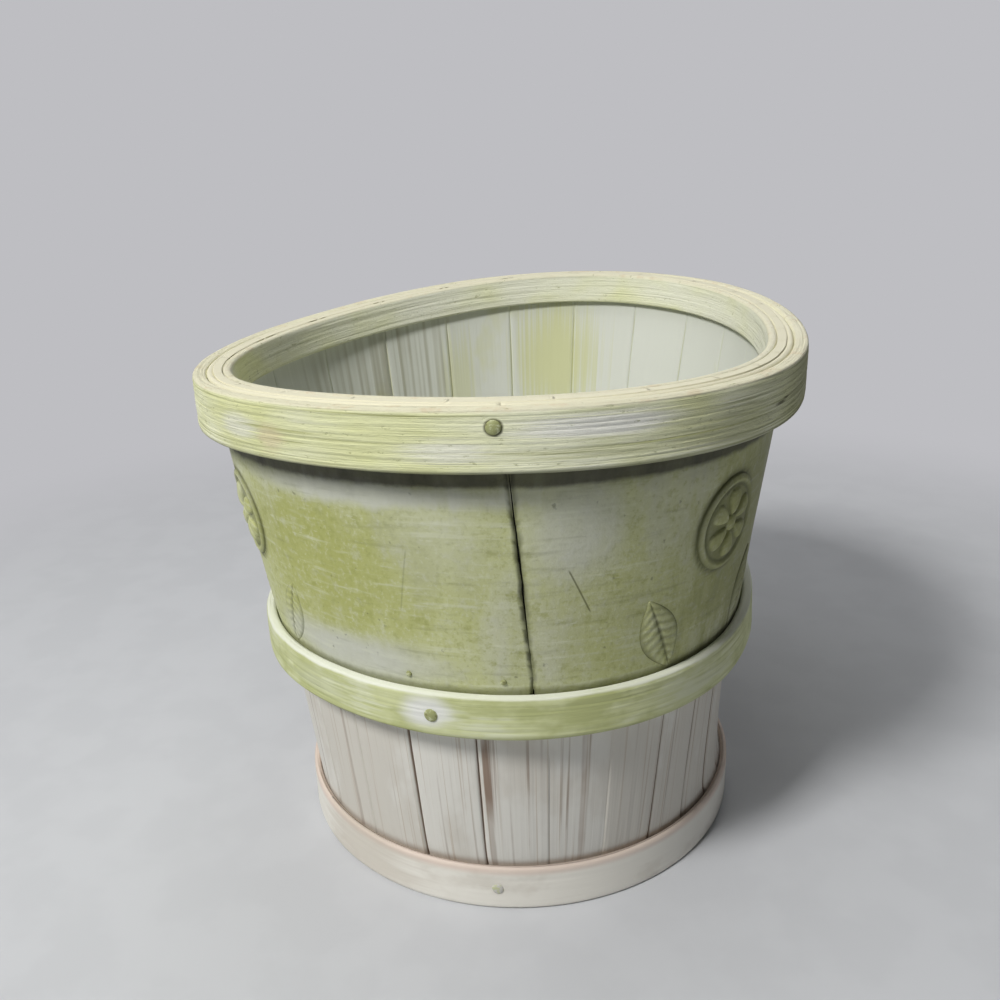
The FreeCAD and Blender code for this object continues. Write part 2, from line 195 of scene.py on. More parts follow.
# a value in a material, with its sums written as plain Python
class Value:
    def __init__(self, shader, socket):
        self.shader, self.socket = shader, socket

    def __add__(self, other):
        return self.shader.math("ADD", self, other)

    def __radd__(self, other):
        return self.shader.math("ADD", other, self)

    def __sub__(self, other):
        return self.shader.math("SUBTRACT", self, other)

    def __rsub__(self, other):
        return self.shader.math("SUBTRACT", other, self)

    def __mul__(self, other):
        return self.shader.math("MULTIPLY", self, other)

    def __rmul__(self, other):
        return self.shader.math("MULTIPLY", other, self)

    def __rtruediv__(self, other):
        return self.shader.math("DIVIDE", other, self)

    def __truediv__(self, other):
        return self.shader.math("DIVIDE", self, other)

    def __pow__(self, other):
        return self.shader.math("POWER", self, other)


# the radii that patterns and scratches are laid round, and the soft, ragged edge of a patch
paint = dict(middleRadius=80 * mm, scratchRadius=85 * mm, ragged=1.6, edgeFrom=0.35, edgeTo=1.25,
             specular=0.3)


class Shader:
    def __init__(self, name, warps=True, around=True):
        self.material = bpy.data.materials.new(name)
        self.material.use_nodes = True
        self.nodes, self.links = self.material.node_tree.nodes, self.material.node_tree.links
        self.surface = self.nodes["Principled BSDF"]
        plain = self.add("ShaderNodeTexCoord", {}, {}).outputs["Object"]
        place = self.mark("unwarped", "Vector").socket if warps else plain
        split = self.add("ShaderNodeSeparateXYZ", {}, {"Vector": place})
        self.x, self.y, self.z = (Value(self, split.outputs[k]) for k in "XYZ")
        self.radius = (self.x ** 2 + self.y ** 2) ** 0.5
        self.azimuth = self.math("ARCTAN2", self.x, 0 - self.y)
        self.across = (self.x, self.y, self.z)
        if around:  # places on the wall: round a middle radius, and up the wall or inwards across a top
            middle = paint["middleRadius"] / self.radius
            self.across = (self.x * middle, self.y * middle, self.z - self.radius)

    def add(self, kind, settings, sockets):
        node = self.nodes.new(kind)
        for key, setting in settings.items():
            setattr(node, key, setting)
        for key, value in sockets.items():
            self.feed(node.inputs[key], value)
        return node

    def feed(self, socket, value):
        if isinstance(value, Value):
            value = value.socket
        if isinstance(value, bpy.types.NodeSocket):
            self.links.new(value, socket)
        else:
            socket.default_value = value

    def mark(self, name, output="Fac"):  # a value kept on the points of the mesh
        return Value(self, self.add("ShaderNodeAttribute", {"attribute_name": name}, {}).outputs[output])

    def math(self, operation, first, second=0.0):
        node = self.add("ShaderNodeMath", {"operation": operation}, {0: first, 1: second})
        return Value(self, node.outputs[0])

    def least(self, first, second):
        return self.math("MINIMUM", first, second)

    def most(self, first, second):
        return self.math("MAXIMUM", first, second)

    def rise(self, value, low, high):  # 0 below low, 1 above high, smooth between
        node = self.add("ShaderNodeMapRange", {"interpolation_type": "SMOOTHSTEP"},
                        {"Value": value, "From Min": low, "From Max": high})
        return Value(self, node.outputs["Result"])

    def noise(self, stretch, detail=3.0, rough=0.55, shift=0.0):  # stretch: features per metre
        place = self.add("ShaderNodeCombineXYZ", {},
                         {"X": self.across[0] * stretch[0] + shift, "Y": self.across[1] * stretch[1] - shift,
                          "Z": self.across[2] * stretch[2] + shift})
        node = self.add("ShaderNodeTexNoise", {}, {"Vector": place.outputs[0], "Scale": 1.0, "Detail": detail,
                                                   "Roughness": rough})
        return Value(self, node.outputs[0])

    def mix(self, first, second, share):
        node = self.add("ShaderNodeMix", {"data_type": "RGBA"}, {0: share, 6: first, 7: second})
        return node.outputs[2]

    # a soft patch at an azimuth (degrees, from the front or the back) and a height (mm), ragged by a noise
    def patch(self, azimuth, height, wide, tall, ragged, reach=1.0, fromBack=False):
        place = self.math("ARCTAN2", self.x, self.y) if fromBack else self.azimuth
        across = (place - math.radians(azimuth)) * paint["middleRadius"] / (wide * mm)
        up = (self.z - height * mm) / (tall * mm)
        far = (across ** 2 + up ** 2) ** 0.5 + (ragged - 0.5) * paint["ragged"]
        return 1 - self.rise(far, paint["edgeFrom"] * reach, paint["edgeTo"] * reach)

    # the strongest of several patches, each with a reach and a strength of its own
    def patches(self, spots, ragged):
        found = [self.patch(*place, ragged, reach) * strength for *place, reach, strength in spots]
        return functools.reduce(self.most, found)

    # a thin line from one azimuth and height to another, in degrees and mm
    def scratch(self, azimuth, height, endAzimuth, endHeight, wide=0.35):
        part = (self.z - height * mm) / ((endHeight - height) * mm)
        line = part * math.radians(endAzimuth - azimuth) + math.radians(azimuth)
        near = self.math("ABSOLUTE", self.azimuth - line) * paint["scratchRadius"]
        inside = self.rise(part, 0, 0.1) * self.rise(part, 1, 0.9)
        return self.rise(near, wide * mm, 0.3 * wide * mm) * inside

    def finish(self, colour, roughness, bump, strength, distance=0.4 * mm):
        self.feed(self.surface.inputs["Base Color"], colour)
        self.feed(self.surface.inputs["Roughness"], roughness)
        node = self.add("ShaderNodeBump", {}, {"Height": bump, "Strength": strength, "Distance": distance})
        self.links.new(node.outputs[0], self.surface.inputs["Normal"])
        self.surface.inputs["Specular IOR Level"].default_value = paint["specular"]
        return self.material


# a colour written as it is seen, 0 to 255, turned into the linear values that a shader takes
def tone(red, green, blue):
    seen = np.array([red, green, blue]) / 255
    linear = np.where(seen <= 0.04045, seen / 12.92, ((seen + 0.055) / 1.055) ** 2.4)
    return (*linear.tolist(), 1.0)


# Finishes

# the rim's dark tone marks its split, and is painted shade under the hoop, round the nail and on its right
# end
rimTones = dict(wash=tone(240, 242, 206), pale=tone(246, 246, 240), groove=tone(146, 148, 88),
                top=tone(226, 222, 196), stain=tone(222, 225, 164), bare=tone(214, 196, 164),
                lining=tone(232, 233, 216), dull=tone(196, 199, 138), grimeAndShade=tone(84, 84, 48))

# patches on the rim: azimuth in degrees, height, width and tallness in mm, reach, strength
rimSpots = dict(
    worn=[(11.5, 155, 21, 4.2, 0.8, 1), (-47, 152, 10, 4.5, 0.9, 1), (-8, 150, 12, 4.0, 0.8, 0.7)],
    dull=[(58, 150, 26, 20, 1, 1), (-38, 150, 34, 20, 1, 0.6), (33, 149.5, 20, 6, 1, 0.9)],
    # this patch is painted shade on the rim's right end, away from the light
    grimeAndShade=[(64, 150, 22, 18, 1, 0.5)],
    bare=[(-38, 150.5, 5, 4, 1, 0.5)],
    split=[(46, 151.3, 3.2, 0.55, 1, 1)],
    splitEnd=[(48, 151.9, 2.0, 0.4, 1, 1)],
)

# where the rim's outer face begins, and the painted shade round its nail
rimPlaces = dict(outerFrom=92 * mm, outerTo=94 * mm, face=96.8 * mm, nailAzimuth=-1.8, nailHeight=155.8 * mm,
                 nailShade=1.8 * mm, nailShadeEnd=2.4 * mm)


def rimFinish():
    s = Shader("rimWood")
    fine = s.noise((20, 20, 2000), 4, 0.65)
    lines = s.noise((10, 10, 800), 3, 0.55, 3.1)
    cloud = s.noise((26, 26, 46), 3, 0.5, 7.7)
    groove = s.least(s.rise(fine, 0.46, 0.30) * 0.6 + s.rise(lines, 0.42, 0.32), 1.0)
    worn = s.rise(cloud + (fine - 0.5) * 0.4, 0.50, 0.72) * 0.6
    worn = s.most(worn, s.patches(rimSpots["worn"], fine))
    colour = s.mix(rimTones["wash"], rimTones["stain"], s.rise(cloud, 0.56, 0.36) * 0.8)
    colour = s.mix(colour, rimTones["pale"], worn * 0.9)
    colour = s.mix(colour, rimTones["groove"], groove * 0.7)
    outerFace = s.rise(s.radius, rimPlaces["outerFrom"], rimPlaces["outerTo"])
    colour = s.mix(colour, rimTones["dull"], s.patches(rimSpots["dull"], fine) * outerFace * 0.6)
    # painted shade on the rim's right end, away from the light
    colour = s.mix(colour, rimTones["grimeAndShade"], s.patches(rimSpots["grimeAndShade"], fine) * outerFace)
    split = s.most(s.patches(rimSpots["split"], fine), s.patches(rimSpots["splitEnd"], lines))
    colour = s.mix(colour, rimTones["grimeAndShade"], split * outerFace * 0.9)
    colour = s.mix(colour, rimTones["bare"], s.patches(rimSpots["bare"], fine) * outerFace)
    # painted shade along the hoop's lower edge, under the rim
    under = s.rise(s.z + (fine - 0.5) * (1.2 * mm), 146.0 * mm, 144.6 * mm)
    colour = s.mix(colour, rimTones["grimeAndShade"], under * 0.75)
    # a dark ring round the nail head: painted shade under the head
    aside = (s.azimuth - math.radians(rimPlaces["nailAzimuth"])) * rimPlaces["face"]
    fromNail = (aside ** 2 + (s.z - rimPlaces["nailHeight"]) ** 2) ** 0.5
    nailShade = s.rise(fromNail, rimPlaces["nailShadeEnd"], rimPlaces["nailShade"])
    colour = s.mix(colour, rimTones["grimeAndShade"], nailShade * outerFace * 0.85)
    lining = s.rise(s.radius, 88.5 * mm, 87 * mm) * s.rise(cloud, 0.3, 0.6)
    colour = s.mix(colour, rimTones["lining"], lining * 0.8)
    topFace = s.rise(s.z, 158.8 * mm, 159.6 * mm)
    rubbed = s.rise(s.noise((140, 140, 140), 4, 0.7, 2.2), 0.52, 0.68)
    bare = s.mix(rimTones["top"], rimTones["bare"], rubbed * 0.6)
    colour = s.mix(colour, bare, topFace * 0.9)
    pits = s.noise((420, 420, 900), 4, 0.7, 6.1)
    colour = s.mix(colour, rimTones["groove"], s.rise(pits, 0.40, 0.28) * 0.6)
    return s.finish(colour, 0.62 + groove * 0.2, fine * 0.5 + lines * 0.5 + pits * 0.5, 1.0, 0.6 * mm)


# the panel's dark tone marks specks of dirt, and is the painted shadow of the rim hoop
panelTones = dict(green=tone(202, 206, 152), olive=tone(176, 180, 104), deep=tone(158, 162, 90),
                  grey=tone(204, 206, 186), chalk=tone(206, 208, 200), scratch=tone(226, 229, 206),
                  grimeAndShade=tone(46, 44, 34), crease=tone(84, 87, 48), dirtAndShade=tone(112, 113, 90))

# patches on the panels, as on the rim
panelSpots = dict(
    olive=[(-37, 112, 40, 27, 1.1, 1), (48, 112, 28, 40, 1.1, 0.8), (14, 100, 18, 22, 1.1, 0.45)],
    chalk=[(-24, 136, 44, 4.5, 1, 1), (-13, 126, 14, 20, 1, 0.35)],
    softChalk=[(-36, 84.5, 32, 8, 1, 1), (10, 126, 12, 18, 1, 0.7)],
    # this patch is painted shade on the panel's right side, away from the light
    dirtAndShade=[(62, 112, 40, 50, 1, 0.5)],
)


def panelFinish():
    s = Shader("panelGreen")
    cloud = s.noise((22, 22, 18), 4, 0.5)
    brush = s.noise((150, 150, 46), 4, 0.6, 2.0)
    speck = s.noise((420, 420, 420), 2, 0.5, 5.0)
    blur = cloud + (brush - 0.5) * 0.35
    colour = s.mix(panelTones["green"], panelTones["grey"], s.rise(blur, 0.40, 0.70) * 0.8)
    olive = s.patches(panelSpots["olive"], brush)
    colour = s.mix(colour, panelTones["olive"], olive * (0.5 + blur * 0.8))
    mottle = s.noise((240, 240, 300), 4, 0.65, 4.4)
    colour = s.mix(colour, panelTones["grey"], s.rise(mottle, 0.52, 0.70) * 0.36)
    colour = s.mix(colour, panelTones["deep"], s.rise(mottle, 0.46, 0.28) * 0.55)
    grit = s.noise((760, 760, 760), 3, 0.6, 8.8)
    colour = s.mix(colour, panelTones["scratch"], s.rise(grit, 0.54, 0.68) * 0.24)
    colour = s.mix(colour, panelTones["deep"], s.rise(grit, 0.46, 0.32) * 0.35)
    chalk = s.most(s.patches(panelSpots["chalk"], brush), s.patches(panelSpots["softChalk"], cloud))
    colour = s.mix(colour, panelTones["chalk"], chalk * 0.8)
    strokes = s.noise((46, 46, 520), 3, 0.6, 11.0)
    colour = s.mix(colour, panelTones["scratch"], s.rise(strokes, 0.54, 0.74) * 0.4)
    colour = s.mix(colour, panelTones["crease"], s.rise(strokes, 0.44, 0.26) * 0.2)
    nick = s.rise(s.noise((260, 260, 900), 3, 0.6, 9.0), 0.66, 0.74)
    colour = s.mix(colour, panelTones["scratch"], nick * 0.3)
    colour = s.mix(colour, panelTones["grimeAndShade"], s.rise(speck, 0.70, 0.78) * 0.4)
    crease = s.mark("crease")
    colour = s.mix(colour, panelTones["crease"], s.least(crease + (brush - 0.5) * crease, 1.0) * 0.85)
    scratches = s.scratch(8.6, 116, 12.8, 102) + s.scratch(-17, 122, -20, 102) * 0.35
    colour = s.mix(colour, panelTones["crease"], s.least(scratches, 1.0) * 0.7)
    # darker towards the rim: dirt and painted shade under the rim hoop; a patch of painted shade on the right
    # side, away from the light; and darker just above the mid hoop
    dirtAndShade = s.rise(s.z + (brush - 0.5) * (8 * mm), 132 * mm, 141 * mm) * 0.4
    dirtAndShade = s.most(dirtAndShade, s.patches(panelSpots["dirtAndShade"], brush))
    dirtAndShade = dirtAndShade + s.rise(s.z + (brush - 0.5) * (2 * mm), 81.0 * mm, 79.0 * mm) * 0.5
    colour = s.mix(colour, panelTones["dirtAndShade"], dirtAndShade)
    # painted shadow that the rim hoop casts on the panel's top
    rimShadow = s.rise(s.z + (mottle - 0.5) * (1.6 * mm), 137.8 * mm, 139.6 * mm)
    colour = s.mix(colour, panelTones["grimeAndShade"], rimShadow * (0.62 + brush * 0.4))
    colour = s.mix(colour, rimTones["top"], s.rise(s.z, 156 * mm, 158 * mm))
    return s.finish(colour, 0.55 + brush * 0.25, mottle * 0.5 + grit * 0.5 + strokes * 0.4, 0.6)


hoopTones = dict(green=tone(212, 217, 166), dull=tone(184, 190, 128), pale=tone(240, 243, 228),
                 cream=tone(243, 240, 230), pink=tone(228, 208, 194), groove=tone(118, 120, 70),
                 warm=tone(196, 186, 170), chalk=tone(236, 237, 234))


def midFinish():
    s = Shader("midHoopWood")
    runs = s.noise((24, 24, 800), 5, 0.6, 4.0)
    cloud = s.noise((40, 40, 70), 4, 0.6, 8.0)
    colour = s.mix(hoopTones["green"], hoopTones["dull"], s.rise(cloud, 0.54, 0.4) * 0.8)
    worn = s.rise(cloud + (runs - 0.5) * 0.6, 0.52, 0.68)
    worn = s.most(worn * 0.5, s.patch(-15.6, 72.4, 8, 4, runs))
    worn = s.most(worn, s.patch(-44, 72.4, 16, 4, runs) * 0.4)
    colour = s.mix(colour, hoopTones["dull"], s.patch(-42, 72.4, 22, 14, runs) * 0.6)
    colour = s.mix(colour, hoopTones["pale"], worn * 0.7)
    groove = s.rise(runs, 0.36, 0.25)
    colour = s.mix(colour, hoopTones["groove"], groove * 0.55)
    colour = s.mix(colour, hoopTones["chalk"], s.patch(-16.8, 73.5, 7, 5.5, cloud) * 0.85)
    # painted highlight along the hoop's top edge
    edge = s.rise(s.z + (cloud - 0.5) * (1.6 * mm), 77.8 * mm, 78.6 * mm)
    colour = s.mix(colour, hoopTones["pale"], edge * 0.95)
    # painted shade along the hoop's lower edge
    under = s.rise(s.z, 67.7 * mm, 66.0 * mm)
    colour = s.mix(colour, hoopTones["groove"], under * 0.5)
    return s.finish(colour, 0.6 + groove * 0.2, runs, 0.45)


def baseFinish():
    s = Shader("baseHoopCream")
    runs = s.noise((20, 20, 500), 4, 0.55, 6.0)
    cloud = s.noise((36, 36, 60), 4, 0.6, 1.0)
    colour = s.mix(hoopTones["cream"], hoopTones["warm"], s.rise(cloud, 0.48, 0.32) * 0.3)
    colour = s.mix(colour, hoopTones["pink"], s.rise(s.z, 11.5 * mm, 14.2 * mm) * 0.8)
    colour = s.mix(colour, hoopTones["warm"], s.patch(-44, 7.5, 26, 20, runs) * 0.5)
    groove = s.rise(runs, 0.34, 0.24)
    colour = s.mix(colour, hoopTones["warm"], groove * 0.6)
    return s.finish(colour, 0.55 + groove * 0.2, runs * 0.7 + cloud * 0.3, 0.3)


slatTones = dict(wash=tone(216, 212, 202), bright=tone(228, 226, 218), brown=tone(132, 106, 86),
                 tan=tone(186, 170, 150), inside=tone(216, 219, 210), insideGreen=tone(206, 208, 152),
                 dark=tone(40, 40, 28), drip=tone(146, 142, 112))


def slatFinish():
    s = Shader("slatWash")
    edge, shade, depth = s.mark("edge"), s.mark("shade"), s.mark("depth")
    streak = s.noise((560, 560, 6), 1, 0.3)
    fine = s.noise((1300, 1300, 14), 2, 0.4, 3.0)
    cloud = s.noise((40, 40, 24), 4, 0.6, 6.0)
    colour = s.mix(slatTones["wash"], slatTones["bright"], s.rise(cloud + (shade - 0.5) * 0.2, 0.44, 0.60))
    stain = s.rise(streak + (cloud - 0.5) * 0.3 + shade * 0.06, 0.66, 0.78)
    colour = s.mix(colour, slatTones["tan"], s.rise(fine, 0.58, 0.72) * 0.5)
    placed = s.most(s.patch(-6, 50, 4, 24, cloud), s.patch(8, 47, 9, 28, cloud))
    stain = s.most(stain * 0.45, placed * s.rise(streak + (fine - 0.5) * 0.5, 0.52, 0.70))
    stain = s.most(stain, s.rise(edge + (fine - 0.5) * 0.5, 0.75, 1.0) * 0.9)
    colour = s.mix(colour, slatTones["brown"], stain * 0.85)
    # brown stain with painted shade in the crevices under the mid hoop and above the base hoop
    creviceStainAndShade = s.rise(s.z, 60.5 * mm, 66.5 * mm) * 0.6 + s.rise(s.z, 17.5 * mm, 14.8 * mm) * 0.5
    colour = s.mix(colour, slatTones["brown"], s.least(creviceStainAndShade, 1.0) * 0.7)
    inside = s.rise(depth, 0.55, 0.75)
    # the slats' outer face under the panels is near black: painted shade for the crack between the panels
    covered = s.rise(s.z, 67.5 * mm, 69.5 * mm) * s.rise(s.z, 155 * mm, 153 * mm) * (1 - inside)
    colour = s.mix(colour, slatTones["dark"], covered)
    yellow = s.most(s.rise(cloud, 0.56, 0.68) * 0.5, s.patch(12, 128, 17, 24, fine, fromBack=True))
    yellow = s.most(yellow, s.patch(-14, 122, 7, 22, fine, fromBack=True) * 0.6)
    lining = s.mix(slatTones["inside"], slatTones["insideGreen"], yellow * 0.8)
    drips = s.patch(-34, 128, 34, 30, cloud, fromBack=True) * s.rise(streak + (cloud - 0.5) * 0.4, 0.40, 0.74)
    lining = s.mix(lining, slatTones["drip"], drips * 0.55)
    lining = s.mix(lining, slatTones["insideGreen"], s.rise(edge + (fine - 0.5) * 0.6, 0.7, 1.1) * 0.5)
    colour = s.mix(colour, lining, inside)
    colour = s.mix(colour, rimTones["top"], s.rise(s.z, 156 * mm, 157.5 * mm))
    return s.finish(colour, 0.66 + stain * 0.15, streak * 0.6 + fine * 0.4, 0.5)


boardTones = dict(grey=tone(184, 178, 160), brown=tone(130, 114, 90), green=tone(168, 170, 120))


def boardFinish():
    s = Shader("boardWood", around=False)
    grain = s.noise((18, 420, 60), 4, 0.6)
    cloud = s.noise((30, 30, 30), 3, 0.5, 4.0)
    colour = s.mix(boardTones["grey"], boardTones["brown"], s.rise(grain, 0.5, 0.68))
    colour = s.mix(colour, boardTones["green"], s.rise(cloud, 0.52, 0.66) * 0.4)
    return s.finish(colour, 0.75, grain, 0.5)


nailTones = dict(paint=tone(158, 162, 112), foot=tone(206, 204, 198), bright=tone(196, 200, 160),
                 rust=tone(96, 84, 48))


def nailFinish():
    s = Shader("nailPaint")
    chip = s.noise((900, 900, 900), 3, 0.6)
    paint = s.mix(nailTones["foot"], nailTones["paint"], s.rise(s.z, 20 * mm, 60 * mm))
    colour = s.mix(paint, nailTones["bright"], s.rise(chip, 0.5, 0.64))
    colour = s.mix(colour, nailTones["rust"], s.rise(chip, 0.40, 0.30) * 0.7)
    return s.finish(colour, 0.45 + chip * 0.2, chip, 0.3, 0.1 * mm)


rimWood, panelGreen, midWood, baseCream = rimFinish(), panelFinish(), midFinish(), baseFinish()
slatWash, boardWood, nailPaint = slatFinish(), boardFinish(), nailFinish()
print("finishes made")


# Hoops: a rounded section turned about the axis, roughened along its own outward direction

hoops = dict(
    rimOuterHoop=dict(node="rim_outer_hoop", material=rimWood, slot="rim_wood", rounding=1.3 * mm, points=150,
                      rings=600, grain=0.45 * mm, runs=14, lines=46, sway=0.25 * mm, seed=11),
    rimInnerHoop=dict(node="rim_inner_hoop", material=rimWood, slot="rim_wood", rounding=0.9 * mm, points=52,
                      rings=480, thick=2.5 * mm, grain=0.18 * mm, runs=12, lines=34, sway=0.15 * mm, seed=21),
    midHoop=dict(node="mid_hoop", material=midWood, slot="mid_hoop_wood", rounding=1.5 * mm, points=110,
                 rings=560, grain=0.32 * mm, runs=13, lines=40, sway=0.2 * mm, seed=31),
    baseHoop=dict(node="base_hoop", material=baseCream, slot="base_hoop_wood", rounding=1.4 * mm, points=60,
                  rings=520, grain=0.16 * mm, runs=10, lines=36, sway=0.15 * mm, seed=41),
)


def hoopCorners(name):
    low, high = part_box(hoops[name]["node"])
    bottom, top, face = low[2], high[2], high[0]
    ends = np.array([bottom, top])
    if name == "rimInnerHoop":
        outer = slatFace(ends) - wall["slatThickness"]
        inner = outer - hoops[name]["thick"]
        return [(outer[0], bottom), (outer[1], top), (inner[1], top), (inner[0], bottom)]
    if name == "midHoop":
        inner, under = panelFace(np.array([wall["waistHeight"], top])), slatFace(bottom)
        return [(inner[0], wall["waistHeight"]), (under, bottom), (face, bottom), (face, top),
                (inner[1], top)]
    inner = slatFace(ends) if name == "baseHoop" else panelFace(ends)
    return [(inner[0], bottom), (face, bottom), (face, top), (inner[1], top)]


def makeHoop(name):
    hoop = hoops[name]
    section = roundedSection(hoopCorners(name), hoop["rounding"], hoop["points"])
    normal = sectionNormals(section)
    turn = np.linspace(0, 1, hoop["rings"], endpoint=False)[:, None]
    along = np.linspace(0, 1, hoop["points"])[None, :]
    grain = grainField(turn, along, hoop["runs"], hoop["lines"], hoop["seed"])
    sway = roughField(turn, along * 0, 9, 1, hoop["seed"] + 5) * hoop["sway"]
    push = -np.abs(grain) * hoop["grain"]
    radius = section[None, :, 0] + normal[None, :, 0] * push
    height = section[None, :, 1] + normal[None, :, 1] * push + sway * (section[None, :, 1] > 1 * mm)
    points = onRing(turn * 2 * math.pi, radius, height)
    return carriedPiece(name, points, True, hoop["material"], [hoop["node"]])


for hoopName in hoops:
    makeHoop(hoopName)
print("hoops made")


# Slats: a rounded section carried up the wall, each with its own settle, cup and edge wear

slat = dict(rows=110, points=60, rounding=0.45 * mm, tight=0.06 * mm, lap=0.5 * mm, open=0.42 * mm,
            wear=0.25 * mm, grain=0.20 * mm, settle=0.3 * mm, cup=0.15 * mm, edgeStain=0.9 * mm, usual=0.5,
            seed=100, openShares={1: 0, 2: 0, 22: 0.1, 23: 1.0, 0: 0.65, 3: 0.9, 4: 0.85})


# azimuth of a seam: even steps, drawn together on one side and spread on the other
def seamAzimuth(number):
    turn = 2 * math.pi * number / wall["slatCount"]
    return math.radians(wall["firstSeam"]) + turn - math.radians(wall["seamSway"]) * (1 - math.cos(turn))


# half of a seam's opening along the height, in metres: its own share of the widest one, with worn spots;
# a shut seam, as all are under the rim hoop, laps a little
def seamOpening(number, share):
    worn = 0.5 + 0.5 * roughField(share * 0.9, share * 0, 9, 1, slat["seed"] + 7 * number)
    apart = openShare(number) * (slat["open"] * (0.6 + 0.4 * share) + worn * slat["wear"])
    shut = np.maximum(np.clip(share * 10 - 8.6, 0, 1), openShare(number) < 0.05)
    return apart * (1 - shut) - slat["lap"] * shut


def openShare(number):
    return slat["openShares"].get(number % wall["slatCount"], slat["usual"])


def makeSlat(number):
    rng = np.random.default_rng(slat["seed"] + number)
    z = np.linspace(0, wall["height"], slat["rows"])[:, None]
    face, share = slatFace(z), np.linspace(0, 1, slat["rows"])[:, None]
    wide = wall["waist"] * (seamAzimuth(number) - seamAzimuth(number - 1))
    thick = wall["slatThickness"]
    section = roundedSection([(wide, thick), (0, thick), (0, 0), (wide, 0)], slat["rounding"], slat["points"])
    across, depth = section[None, :, 0] / wide, section[None, :, 1]
    outside = np.clip(1 - 1.4 * depth / thick, 0, 1)  # a seam opens at the outside and is tight inside
    leftGap, rightGap = seamOpening(number - 1, share), seamOpening(number, share)
    leftGap, rightGap = (np.where(gap > 0, gap * outside, gap) - slat["tight"] for gap in (leftGap, rightGap))
    left = seamAzimuth(number - 1) + leftGap / face
    right = seamAzimuth(number) - rightGap / face
    along = np.linspace(0, 1, slat["points"])[None, :]
    grain = grainField(share * 0.9, along, 3, 26, slat["seed"] + 10 * number)
    cup = 4 * across * (1 - across) * rng.uniform(0.0, 1.0) * slat["cup"]
    settle = rng.uniform(0, 1) * slat["settle"] * np.clip(10 - share * 11, 0, 1)
    radius = face - depth - settle + cup - np.abs(grain) * slat["grain"] * outside
    points = onRing(left + across * (right - left), radius, z)
    ones = np.ones(points.shape[:2])
    leftEdge = np.exp(-across * wide / slat["edgeStain"]) * min(openShare(number - 1) * 2, 1)
    rightEdge = np.exp(-(1 - across) * wide / slat["edgeStain"]) * min(openShare(number) * 2, 1)
    marks = dict(edge=np.maximum(leftEdge, rightEdge) * ones, shade=rng.uniform(0, 1) * ones,
                 depth=depth / thick * ones)
    name = "slat%02d" % number
    return carriedPiece(name, points, False, slatWash, ["stave_%02d" % number], marks)


for slatNumber in range(1, wall["slatCount"] + 1):
    makeSlat(slatNumber)
print("slats made")


# Panels: the belt's section carried round from seam to seam; the front seam leans and opens upwards

panel = dict(columns=230, points=130, rounding=0.7 * mm, frontSeam=1.3, backSeam=181.2, lean=4.4,
             gapLow=0.35 * mm, gapHigh=1.0 * mm, ragged=0.32 * mm, ragCells=22, fineRagCells=60,
             wave=0.22 * mm, waveCells=(16, 6), curl=0.25 * mm, curlShare=0.01956, heldFrom=146 * mm,
             heldOver=4 * mm, creaseWide=0.25 * mm, seed=300)

# the carved reliefs on the panels
relief = dict(medallionRadius=14 * mm, rise=118.2 * mm, places=dict(right=42.0, left=-68.5), plate=0.55 * mm,
              ring=0.4 * mm, ringAt=0.88, ringWide=0.055, moat=0.25 * mm, moatAt=0.78, moatWide=0.04,
              petals=6, petal=1.15 * mm, petalAt=0.44, petalHalf=0.27, petalNarrow=3.2, heart=0.17,
              edgeFrom=0.95, sunk=0.35 * mm, underPlate=0.3 * mm, creaseWide=1.0 * mm, rows=64, turns=180,
              leafHalf=13 * mm, leafWide=6.0 * mm, leafLean=5 / 12, leafSpread=15.0, leafHeight=90.4 * mm,
              leafDome=0.95 * mm, leafSink=0.12 * mm, midrib=0.45 * mm, midribWide=0.10, vein=0.16 * mm,
              veins=9, leafRows=70, leafTurns=48)


def makePanel(name, node, side):
    corners = []
    bottom, top = wall["waistHeight"] + 0.1 * mm, wall["height"]
    for z, outer in ((bottom, 0), (bottom, 1), (top, 1), (top, 0)):
        corners.append((slatFace(z) + outer * (wall["clearance"] + wall["panelThickness"]), z))
    section = roundedSection(corners, panel["rounding"], panel["points"])
    z, radius = section[None, :, 1], section[None, :, 0]
    up = (z - bottom) / (top - bottom)
    seam = math.radians(panel["frontSeam"]) + math.radians(panel["lean"]) * (0.5 - up)
    # the belt lies flat and closed under the rim hoop
    held = np.clip((z - panel["heldFrom"]) / panel["heldOver"], 0, 1)
    gap = (panel["gapLow"] + (panel["gapHigh"] - panel["gapLow"]) * up) * (1 - 0.95 * held)
    rag = roughField(up, up * 0, panel["ragCells"], 1, panel["seed"] + side)
    rag = rag + roughField(up, up * 0, panel["fineRagCells"], 1, panel["seed"] + 9 + side) * 0.5
    rag = rag * panel["ragged"]
    front = seam + side * (gap / 2 + rag * (1 - held)) / radius
    back = math.radians(panel["backSeam"]) - (side < 0) * 2 * math.pi - side * panel["gapLow"] / 2 / radius
    t = np.linspace(0, 1, panel["columns"])[:, None]
    azimuth = front + (back - front) * t
    wave = roughField(azimuth / (2 * math.pi), up, *panel["waveCells"], panel["seed"] + 4) * panel["wave"]
    wave = wave - np.exp(-(t / panel["curlShare"]) ** 2) * panel["curl"]
    points = onRing(azimuth, radius + (wave - panel["wave"]) * (1 - held), z)
    fromCrack = np.abs(azimuth - front) * radius
    crease = np.exp(-fromCrack / panel["creaseWide"]) * (z < panel["heldFrom"]) * 0.8
    for place in relief["places"].values():
        away = np.hypot((azimuth - math.radians(place)) * radius, z - relief["rise"])
        crease = crease + np.exp(-((away - relief["medallionRadius"]) / relief["creaseWide"]) ** 2)
    marks = dict(crease=np.clip(crease, 0, 1))
    return carriedPiece(name, points, False, panelGreen, [node], marks)


makePanel("panelRight", "right_panel", 1)
makePanel("panelLeft", "left_panel", -1)
print("panels made")


